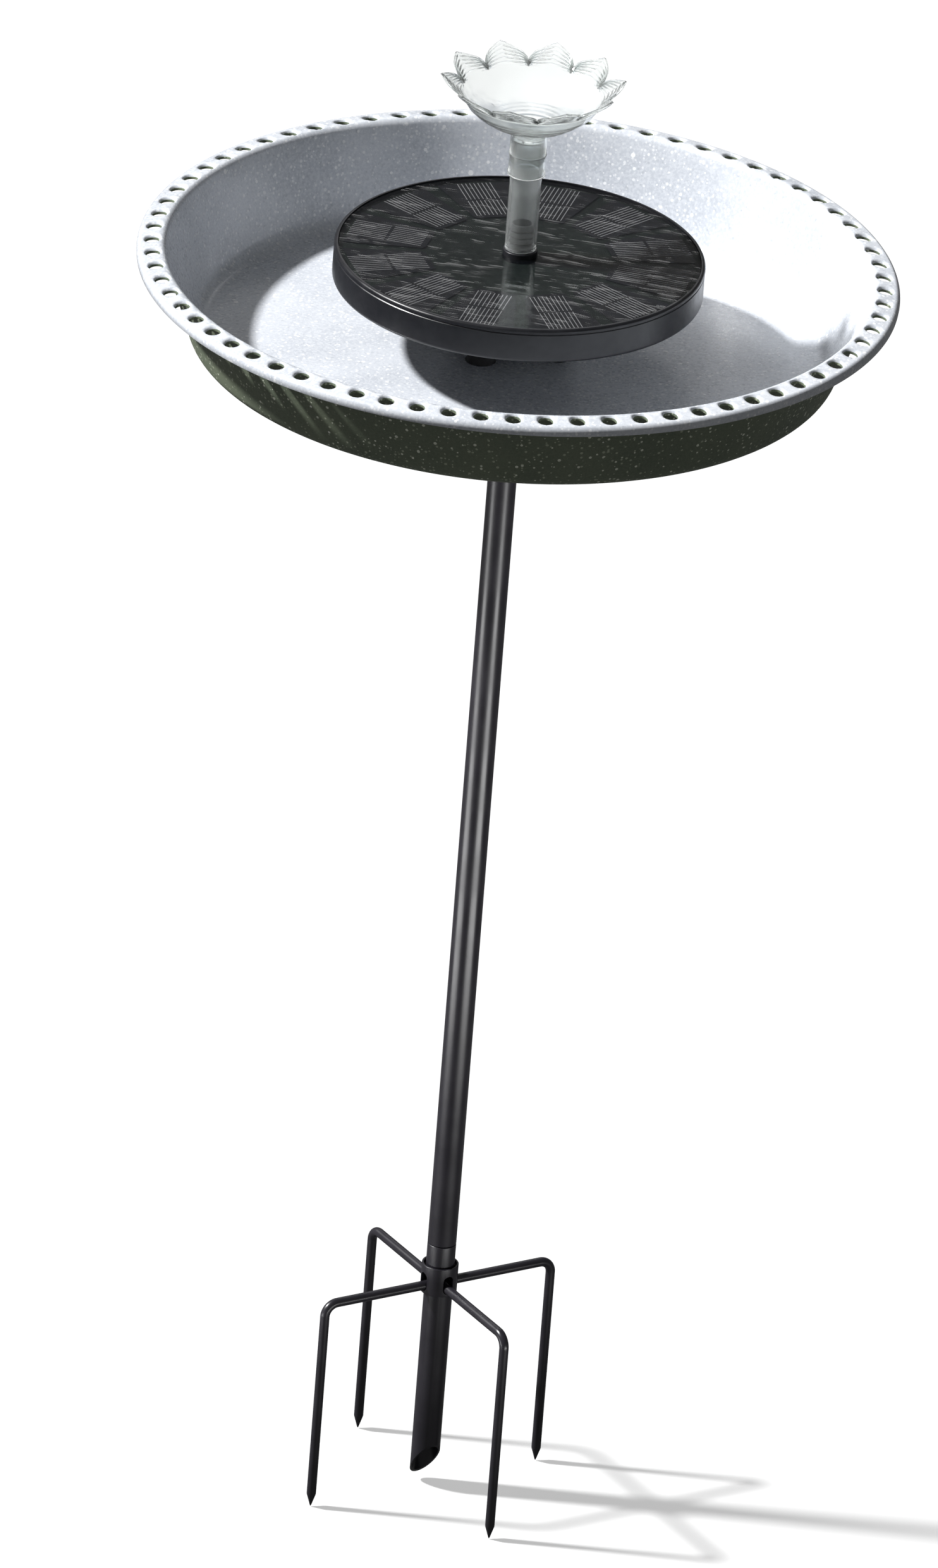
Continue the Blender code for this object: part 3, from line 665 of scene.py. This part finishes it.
def make_bowl_clamp(looks):
    low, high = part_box("bowl_flange")
    radius = high.x
    plate = high.z - 3 * MM
    fit = POLE_RADIUS + GAP
    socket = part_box("pole_tube")[1].z + GAP
    bore = 3.3 * MM
    boss = 10.5 * MM
    weld = arc((boss + 3 * MM, plate - 3 * MM), 3 * MM, 90, 180, 8)
    profile = [(radius - 0.6 * MM, high.z), (radius, high.z - 0.6 * MM), (radius, plate), *weld,
               (boss, low.z), (fit, low.z), (fit, socket), (bore, socket), (bore, high.z)]
    flange = lathe("bowl_flange_fine", soften(profile, 0.5 * MM), 120)
    put(flange, "bowl", "black_paint", looks["paint"], "bowl_flange")

    for node, slot, look in (("flange_gasket", "black_rubber", "rubber"),
                             ("seal_washer", "black_rubber", "rubber"),
                             ("steel_washer", "zinc_steel", "steel")):
        low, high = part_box(node)
        ring = [(high.x, high.z), (high.x, low.z), (bore, low.z), (bore, high.z)]
        put(lathe(node + "_fine", soften(ring, 0.25 * MM), 72), "bowl", slot, looks[look], node)

    low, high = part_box("bowl_bolt")
    head = high.x
    head_low = high.z - 3.2 * MM
    shank = 3 * MM
    profile = [(0, high.z), (0.62 * head, high.z), (0.9 * head, high.z - 1.0 * MM),
               (head, head_low + 0.8 * MM), (head, head_low), (shank, head_low)]
    pitch = 1.0 * MM
    z = head_low - 6 * MM
    while z - pitch > low.z + 1 * MM:
        profile += [(shank, z), (shank - 0.35 * MM, z - 0.5 * pitch)]
        z -= pitch
    profile += [(shank - 0.6 * MM, low.z), (0, low.z)]
    bolt = lathe("bowl_bolt_fine", soften(profile, 0.15 * MM, 2), 48)
    bm = bmesh.new()
    bmesh.ops.create_cone(bm, cap_ends=True, segments=6, radius1=0.42 * head, radius2=0.42 * head,
                          depth=3.6 * MM, matrix=Matrix.Translation((0, 0, high.z)))
    cut(bolt, bm)
    put(bolt, "bowl", "zinc_steel", looks["steel"], "bowl_bolt")


# Floating solar panel

OUTLET_HOLE = 8.7 * MM
FLOAT_WALL = 2 * MM
CELL_COUNT = 12
CELL_SPAN = math.radians(25)
CELL_INNER = 46 * MM
CELL_OUTER = 86 * MM
FINGER_STRIPS = ((47.5 * MM, 64.4 * MM), (66 * MM, 84.3 * MM))
FINGER_COUNT = 9
FINGER_PITCH = 2.05 * MM
FINGER_WIDTH = 0.4 * MM
FINGER_HEIGHT = 0.055 * MM
SCREW_CIRCLE = 26 * MM
SCREW_HOLE = 1.7 * MM
LEAD_PLACE = polar(20 * MM, math.radians(60))
LEAD_HOLE = 1.9 * MM


def drill_into(bm, z, sides):
    """The three screw holes and the lead's hole through a plate at this height."""
    places = [(polar(SCREW_CIRCLE, TURN * i / 3), SCREW_HOLE) for i in range(3)]
    places.append((LEAD_PLACE, LEAD_HOLE))
    for place, radius in places:
        bmesh.ops.create_cone(bm, cap_ends=True, segments=sides, radius1=radius, radius2=radius,
                              depth=6 * MM, matrix=Matrix.Translation(place + Vector((0, 0, z))))


def make_float(looks):
    low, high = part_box("float_tray")
    radius = high.x
    top_edge = arc((radius - 1.5 * MM, high.z - 1.5 * MM), 1.5 * MM, 90, 0, 8)
    seam_z = high.z - 2.6 * MM
    seam = [(radius, seam_z + 0.5 * MM), (radius - 0.45 * MM, seam_z + 0.15 * MM),
            (radius - 0.45 * MM, seam_z - 0.15 * MM), (radius - 0.1 * MM, seam_z - 0.5 * MM)]
    low_edge = arc((radius - 2.1 * MM, low.z + 2 * MM), 2 * MM, 0, -90, 8)
    inner = [(OUTLET_HOLE, low.z), (OUTLET_HOLE, low.z + FLOAT_WALL),
             (radius - FLOAT_WALL, low.z + FLOAT_WALL), (radius - FLOAT_WALL, high.z)]
    tray = lathe("float_tray_fine", [*top_edge, *seam, *low_edge, *inner], 288)
    bm = bmesh.new()
    drill_into(bm, low.z + 0.5 * FLOAT_WALL, 24)
    cut(tray, bm)
    put(tray, "fountain", "black_plastic", looks["plastic"], "float_tray")


def make_cover(looks):
    """The clear cover over the cells, flat below, with the low waves of poured resin on top."""
    low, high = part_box("panel_cover")
    outer = high.x
    bm = bmesh.new()
    steps = 320
    radii = [OUTLET_HOLE + (outer - OUTLET_HOLE) * k / 52 for k in range(53)]
    top = []
    for radius in radii:
        ring = []
        for k in range(steps):
            point = polar(radius, TURN * k / steps)
            wave = noise.noise(Vector((point.x * 26, point.y * 75, 3.7)))
            wave += 0.5 * noise.noise(Vector((point.x * 60, point.y * 160, 9.1)))
            edge = min(1.0, (outer - radius) / (3 * MM), (radius - OUTLET_HOLE) / (2 * MM))
            point.z = high.z - 0.24 * MM + 0.16 * MM * wave * max(edge, 0.0)
            ring.append(bm.verts.new(point))
        top.append(ring)
    bottom = []
    for radius in (OUTLET_HOLE, outer):
        bottom.append([bm.verts.new(polar(radius, TURN * k / steps, low.z)) for k in range(steps)])
    loops = [bottom[0], *top, bottom[1]]
    for first, second in zip(loops, loops[1:] + loops[:1]):
        for k in range(steps):
            after = (k + 1) % steps
            bm.faces.new((first[k], second[k], second[after], first[after]))
    put(piece_from("panel_cover_fine", bm), "fountain", "panel_glazing", looks["glazing"], "panel_cover")


def make_cells(looks):
    """Each cell is a wedge with two strips of silver fingers printed on it."""
    half = CELL_SPAN / 2
    for i in range(CELL_COUNT):
        node = f"solar_cell_{i + 1:02d}"
        low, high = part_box(node)
        turn = Matrix.Rotation(TURN * i / CELL_COUNT, 4, "Z")
        corners = [polar(CELL_INNER, -half), polar(CELL_OUTER, -half),
                   polar(CELL_OUTER, half), polar(CELL_INNER, half)]
        outline = soften([(c.x, c.y) for c in corners], 2.0 * MM, 5)
        bm = bmesh.new()
        face_z = high.z - FINGER_HEIGHT - 0.005 * MM
        tops = [bm.verts.new(turn @ Vector((x, y, face_z))) for x, y in outline]
        feet = [bm.verts.new(turn @ Vector((x, y, low.z))) for x, y in outline]
        bm.faces.new(tops)
        bm.faces.new(feet[::-1])
        for k in range(len(outline)):
            after = (k + 1) % len(outline)
            bm.faces.new((tops[k], feet[k], feet[after], tops[after]))
        plain = len(bm.faces)
        z = face_z + 0.5 * FINGER_HEIGHT
        for k in range(FINGER_COUNT):
            y = (k - (FINGER_COUNT - 1) / 2) * FINGER_PITCH
            for start, end in FINGER_STRIPS:
                size = (end - start, FINGER_WIDTH, FINGER_HEIGHT)
                box_into(bm, size, ((start + end) / 2, y, z), TURN * i / CELL_COUNT)
        bm.faces.ensure_lookup_table()
        for k, face in enumerate(bm.faces):
            face.material_index = 0 if k < plain else 1
        piece = piece_from(node + "_fine", bm)
        put(piece, "fountain", "solar_cell", [looks["silicon"], looks["silver"]], node)


def make_board_and_foam(looks):
    low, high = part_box("solar_board")
    ring = [(high.x, high.z), (high.x, low.z), (OUTLET_HOLE, low.z), (OUTLET_HOLE, high.z)]
    put(lathe("solar_board_fine", soften(ring, 0.2 * MM, 2), 192), "fountain", "circuit_board",
        looks["board"], "solar_board")

    for node, inner, reach in (("float_foam", 30 * MM, 1.5 * MM), ("sponge_filter", 13 * MM, 1.0 * MM)):
        low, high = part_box(node)
        outer = high.x
        outline = [(outer, high.z), (outer, low.z), (inner, low.z), (inner, high.z)]
        steps = 120
        bm = bmesh.new()
        lathe_into(bm, soften(outline, reach, 5), steps)
        for vert in bm.verts:
            vert.co *= 1 - 0.004 * abs(noise.noise(vert.co * 260))
            vert.co.z = min(max(vert.co.z, low.z + 0.02 * MM), high.z - 0.02 * MM)
        foam = put(piece_from(node + "_fine", bm), "fountain", "grey_foam", looks["foam"], node)


def make_outlet(looks):
    low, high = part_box("outlet_socket")
    radius = high.x
    shelf = PANEL_Z + 2 * MM
    nipple = 6 * MM
    bore = 4.6 * MM
    barbs = []
    z = high.z - 0.4 * MM
    while z - 3.2 * MM > shelf:
        barbs += [(nipple - 0.7 * MM, z), (nipple, z - 2.4 * MM), (nipple, z - 2.8 * MM)]
        z -= 3.2 * MM
    profile = [(nipple - 1.0 * MM, high.z), *barbs, (nipple - 0.6 * MM, shelf), (radius, shelf),
               (radius, low.z), (bore, low.z), (bore, high.z)]
    put(lathe("outlet_socket_fine", soften(profile, 0.5 * MM), 96), "fountain", "black_plastic",
        looks["plastic"], "outlet_socket")


# Pump

def make_pump(looks):
    low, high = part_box("pump_housing")
    radius = high.x
    roof = high.z - 2.5 * MM
    bore = 4.6 * MM
    profile = [(radius, high.z), (radius, low.z), (radius - 2 * MM, low.z), (radius - 2 * MM, roof),
               (bore, roof), (bore, high.z)]
    housing = lathe("pump_housing_fine", soften(profile, 1.0 * MM), 144)
    bm = bmesh.new()
    drill_into(bm, high.z - 1.25 * MM, 20)
    flutes = 36
    size = (0.6 * MM, 1.1 * MM, high.z - low.z - 7 * MM)
    for i in range(flutes):
        box_into(bm, size, (radius, 0, (high.z + low.z) / 2), TURN * (i + 0.5) / flutes)
    cut(housing, bm)
    put(housing, "fountain", "black_plastic", looks["plastic"], "pump_housing")


def make_intake(looks):
    low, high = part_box("intake_cover")
    radius = high.x
    profile = [(0, high.z - 2.5 * MM), (radius - 4 * MM, high.z - 2.5 * MM), (radius - 3 * MM, high.z),
               (radius, high.z), (radius, low.z), (0, low.z)]
    cover = lathe("intake_cover_fine", soften(profile, 0.8 * MM), 144)
    bm = bmesh.new()
    slots = 12
    for i in range(slots):
        if i % 4:
            box_into(bm, (15 * MM, 3 * MM, 20 * MM), (18 * MM, 0, low.z), TURN * i / slots)
    notches = 48
    for i in range(notches):
        turn = TURN * (i + 0.5) / notches
        box_into(bm, (0.7 * MM, 1.4 * MM, 2.6 * MM), (radius, 0, (low.z + high.z) / 2), turn)
    cut(cover, bm)
    put(cover, "intake_cover", "black_plastic", looks["plastic"], "intake_cover")

    for i in range(3):
        node = f"suction_cup_{i + 1}"
        low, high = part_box(node)
        centre = (low + high) / 2
        radius = 7.6 * MM
        depth = high.z - 2 * MM - low.z
        skirt = [(radius * s, low.z + depth * (1 - s ** 2.2)) for s in (0.5, 0.65, 0.8, 0.93)]
        profile = [(0, high.z), (2.8 * MM, high.z), (2.8 * MM, high.z - 1.6 * MM), *skirt,
                   (radius, low.z + 0.35 * MM), (radius - 0.2 * MM, low.z),
                   (radius - 1.0 * MM, low.z + 0.1 * MM), (radius * 0.6, low.z + 1.9 * MM),
                   (0, low.z + 2.7 * MM)]
        cup = lathe(node + "_fine", soften(profile, 0.4 * MM, 3), 48, at=(centre.x, centre.y))
        put(cup, "intake_cover", "black_rubber", looks["rubber"], node)


# Riser and lotus nozzle

PETAL_COUNT = 10
PETAL_PHASE = math.radians(17.7)
NECK_RADIUS = 8.9 * MM
DISH_RIM = (34.5 * MM, 83 * MM)
TIP = (45 * MM, 92.4 * MM)
NOZZLE_WALL = 0.9 * MM


def make_riser(looks):
    low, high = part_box("riser_tube")
    radius = 7.7 * MM
    bore = radius - 1.3 * MM
    groove = [(radius, low.z + 2.2 * MM), (radius - 0.25 * MM, low.z + 1.9 * MM),
              (radius - 0.25 * MM, low.z + 1.5 * MM), (radius, low.z + 1.2 * MM)]
    profile = [(radius, high.z), *groove, (radius, low.z), (bore, low.z), (bore, high.z)]
    put(lathe("riser_tube_fine", soften(profile, 0.3 * MM), 96), "riser", "clear_plastic", looks["clear"],
        "riser_tube")


def smooth_line(points, count):
    """A smooth curve through the points, as (radius, height) pairs."""
    ends = [points[0], *points, points[-1]]
    result = []
    for i in range(len(points) - 1):
        p0, p1, p2, p3 = (Vector(p) for p in ends[i:i + 4])
        for k in range(count):
            t = k / count
            result.append(tuple(0.5 * (2 * p1 + (p2 - p0) * t + (2 * p0 - 5 * p1 + 4 * p2 - p3) * t ** 2
                                       + (3 * p1 - p0 - 3 * p2 + p3) * t ** 3)))
    result.append(points[-1])
    return result


def petal_line(offset, rows):
    """Down a petal at this share of its half width, from its outline to the dish's rim."""
    length = math.sqrt(max(1 - offset, 0.0015))
    line = []
    ribs = 6
    for k in range(rows):
        share = 1 - k / rows
        t = share * length
        rib = 0.28 * MM * math.cos(TURN * ribs * share) * min(1.0, 3 * length) * (share < 0.999)
        cup = 0.9 * MM * (1 - offset ** 2) * t * (1 - t) * 4 + rib
        radius = DISH_RIM[0] + t * (TIP[0] - DISH_RIM[0]) + 0.6 * cup
        rise = DISH_RIM[1] + t ** 0.8 * (TIP[1] - DISH_RIM[1]) - 0.8 * cup
        line.append((radius, rise))
    return line


def make_nozzle(looks):
    """A thin loft: round neck, rippled dish and ten pointed, ribbed petals."""
    per_petal = 28
    columns = PETAL_COUNT * per_petal
    dish = smooth_line([DISH_RIM, (30 * MM, 76.5 * MM), (22 * MM, 70.5 * MM), (14 * MM, 67.3 * MM),
                        (10.2 * MM, 65.6 * MM), (NECK_RADIUS, 62.5 * MM)], 7)
    dish = [(r, z + 0.1 * MM * math.sin(r / (0.42 * MM)) * (r > 11 * MM)) for r, z in dish]
    neck = [(NECK_RADIUS, 53 * MM), (NECK_RADIUS + 0.3 * MM, 52.6 * MM), (NECK_RADIUS + 0.3 * MM, 52.2 * MM),
            (NECK_RADIUS, 51.8 * MM), (NECK_RADIUS, 43.6 * MM), (NECK_RADIUS + 0.35 * MM, 43.2 * MM),
            (NECK_RADIUS + 0.35 * MM, 41.9 * MM), (NECK_RADIUS + 0.1 * MM, 41.5 * MM)]
    bm = bmesh.new()
    grid = []
    for i in range(columns):
        angle = PETAL_PHASE + TURN * i / columns
        place = i % per_petal
        offset = 2 * min(place, per_petal - place) / per_petal
        line = petal_line(offset, 30) + dish + neck
        grid.append([bm.verts.new(polar(r, angle, PANEL_Z + z)) for r, z in line])
    for i in range(columns):
        left, right = grid[i], grid[(i + 1) % columns]
        for j in range(len(left) - 1):
            bm.faces.new((left[j], left[j + 1], right[j + 1], right[j]))
    mesh = bpy.data.meshes.new("lotus_nozzle_fine")
    bm.to_mesh(mesh)
    bm.free()
    mesh.shade_smooth()
    nozzle = bpy.data.objects.new("lotus_nozzle_fine", mesh)
    bpy.context.scene.collection.objects.link(nozzle)
    wall = nozzle.modifiers.new("Wall", "SOLIDIFY")
    wall.thickness = NOZZLE_WALL
    wall.offset = -1
    apply_modifiers(nozzle)
    nozzle.data.set_sharp_from_angle(angle=math.radians(50))
    put(nozzle, "nozzle", "clear_plastic", looks["clear"], "lotus_nozzle")

    low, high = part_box("nozzle_jet_disc")
    ring = [(high.x, high.z), (high.x, low.z), (2.2 * MM, low.z), (2.2 * MM, high.z)]
    put(lathe("nozzle_jet_disc_fine", soften(ring, 0.3 * MM), 72), "nozzle", "clear_plastic",
        looks["clear"], "nozzle_jet_disc")


HIDDEN = {
    "stake_top_nut": "steel", "pole_stud": "steel", "pole_bottom_nut": "steel", "pole_top_nut": "steel",
    "panel_lead": "rubber", "pump_stator": "copper", "driver_board": "board", "impeller_shaft": "ceramic",
    "impeller": "plastic", "float_screw_1": "steel", "float_screw_2": "steel", "float_screw_3": "steel",
}


def dress_hidden(looks):
    for node, look in HIDDEN.items():
        mesh = frame["nodes"][node].data
        mesh.materials.clear()
        mesh.materials.append(looks[look])


# Stage

def seen_straight(tree):
    """1 for what is seen directly or through clear plastic, and 0 for light that lands on the object."""
    path = tree.nodes.new("ShaderNodeLightPath")
    return math_node(tree, "MAXIMUM", path.outputs["Is Camera Ray"], path.outputs["Is Transmission Ray"])


def make_stage():
    bm = bmesh.new()
    bmesh.ops.create_circle(bm, cap_ends=True, segments=96, radius=60)
    floor = piece_from("floor", bm)
    floor.location.z = -0.0005
    material, tree, shader = new_material("pale_floor", (0.2, 0.2, 0.2), 0.9,
                                          Emission_Color=(1, 1, 1, 1))
    tone = spread(tree, noise_of(tree, 3, 2.0), 0.3, 0.7)
    dim = mixed(tree, tone, (0.055, 0.055, 0.055), (0.065, 0.065, 0.065))
    straight = seen_straight(tree)
    tree.links.new(mixed(tree, straight, dim, (0.42, 0.42, 0.42)), shader.inputs["Base Color"])
    glow = spread(tree, straight, 0.0, 1.0, 0.0, 0.45)
    tree.links.new(glow, shader.inputs["Emission Strength"])
    floor.data.materials.append(material)

    world = bpy.data.worlds.new("studio")
    bpy.context.scene.world = world
    world.use_nodes = True
    tree = world.node_tree
    background = tree.nodes["Background"]
    background.inputs["Color"].default_value = (1.0, 1.0, 1.0, 1.0)
    strength = spread(tree, seen_straight(tree), 0.0, 1.0, 0.12, 1.0)
    tree.links.new(strength, background.inputs["Strength"])


VIEW_AZIMUTH = math.radians(12.7)
VIEW_ELEVATION = math.radians(25.5)
FRAME_HEIGHT = 0.757
LENS = 600
SENSOR = 36
LEAN = math.radians(4.5)
CARD_DISTANCE = 1.1
CARD_RISE = 0.004


def from_view(left, elevation):
    """The direction towards a light, left of the camera's side by this angle, in degrees."""
    side = VIEW_AZIMUTH - math.radians(left)
    lift = math.radians(elevation)
    return Vector((math.sin(side) * math.cos(lift), -math.cos(side) * math.cos(lift), math.sin(lift)))


def make_lights(looks):
    sun = bpy.data.lights.new("key", "SUN")
    sun.energy = 6.3
    sun.angle = math.radians(4)
    key = bpy.data.objects.new("key", sun)
    key.rotation_mode = "QUATERNION"
    key.rotation_quaternion = from_view(92, 44).to_track_quat("Z", "Y")
    bpy.context.scene.collection.objects.link(key)
    window = add_area("window_back", (1.6, 0.5), 5.2)
    direction = from_view(178, 34)
    window.location = Vector((0, 0, PANEL_Z)) + 3 * direction
    window.rotation_quaternion = direction.to_track_quat("Z", "Y")
    painted = bpy.data.collections.new("painted_steel")
    for piece in bpy.context.scene.objects:
        if piece.type == "MESH" and looks["paint"].name in piece.data.materials:
            painted.objects.link(piece)
    for name, left, power in (("card_left", 64, 15.0), ("card_right", -40, 17.0)):
        card = add_area(name, (0.5, 1.3), power)
        side = VIEW_AZIMUTH - math.radians(left)
        card.location = Vector((math.sin(side) * CARD_DISTANCE, -math.cos(side) * CARD_DISTANCE, CARD_RISE))
        card.rotation_quaternion = (Quaternion((0, 0, 1), side + math.pi) @ Quaternion((1, 0, 0), math.pi))
        card.light_linking.receiver_collection = painted


def add_area(name, size, power):
    area = bpy.data.lights.new(name, "AREA")
    area.shape = "RECTANGLE"
    area.size, area.size_y = size
    area.energy = power
    lamp = bpy.data.objects.new(name, area)
    lamp.rotation_mode = "QUATERNION"
    lamp.visible_camera = False
    bpy.context.scene.collection.objects.link(lamp)
    return lamp


def make_camera():
    look = -from_view(0, math.degrees(VIEW_ELEVATION))
    right = Vector((math.cos(VIEW_AZIMUTH), math.sin(VIEW_AZIMUTH), 0))
    up = right.cross(look)
    aim = Vector((0, 0, CREST_Z)) - 0.0044 * right - 0.2525 * up
    data = bpy.data.cameras.new("camera")
    data.lens = LENS
    data.sensor_fit = "VERTICAL"
    data.sensor_height = SENSOR
    data.clip_start = 0.1
    data.clip_end = 200
    camera = bpy.data.objects.new("camera", data)
    camera.location = aim - look * (FRAME_HEIGHT * LENS / SENSOR)
    camera.rotation_mode = "QUATERNION"
    camera.rotation_quaternion = look.to_track_quat("-Z", "Y") @ Quaternion((0, 0, 1), LEAN)
    bpy.context.scene.collection.objects.link(camera)
    bpy.context.scene.camera = camera


def build():
    looks = make_materials()
    make_stake(looks)
    make_prongs(looks)
    make_pole(looks)
    make_bowl(looks)
    make_bowl_clamp(looks)
    make_float(looks)
    make_cover(looks)
    make_cells(looks)
    make_board_and_foam(looks)
    make_outlet(looks)
    make_pump(looks)
    make_intake(looks)
    make_riser(looks)
    make_nozzle(looks)
    dress_hidden(looks)
    make_stage()
    make_lights(looks)
    make_camera()
    bpy.context.scene.view_settings.view_transform = "Standard"


build()
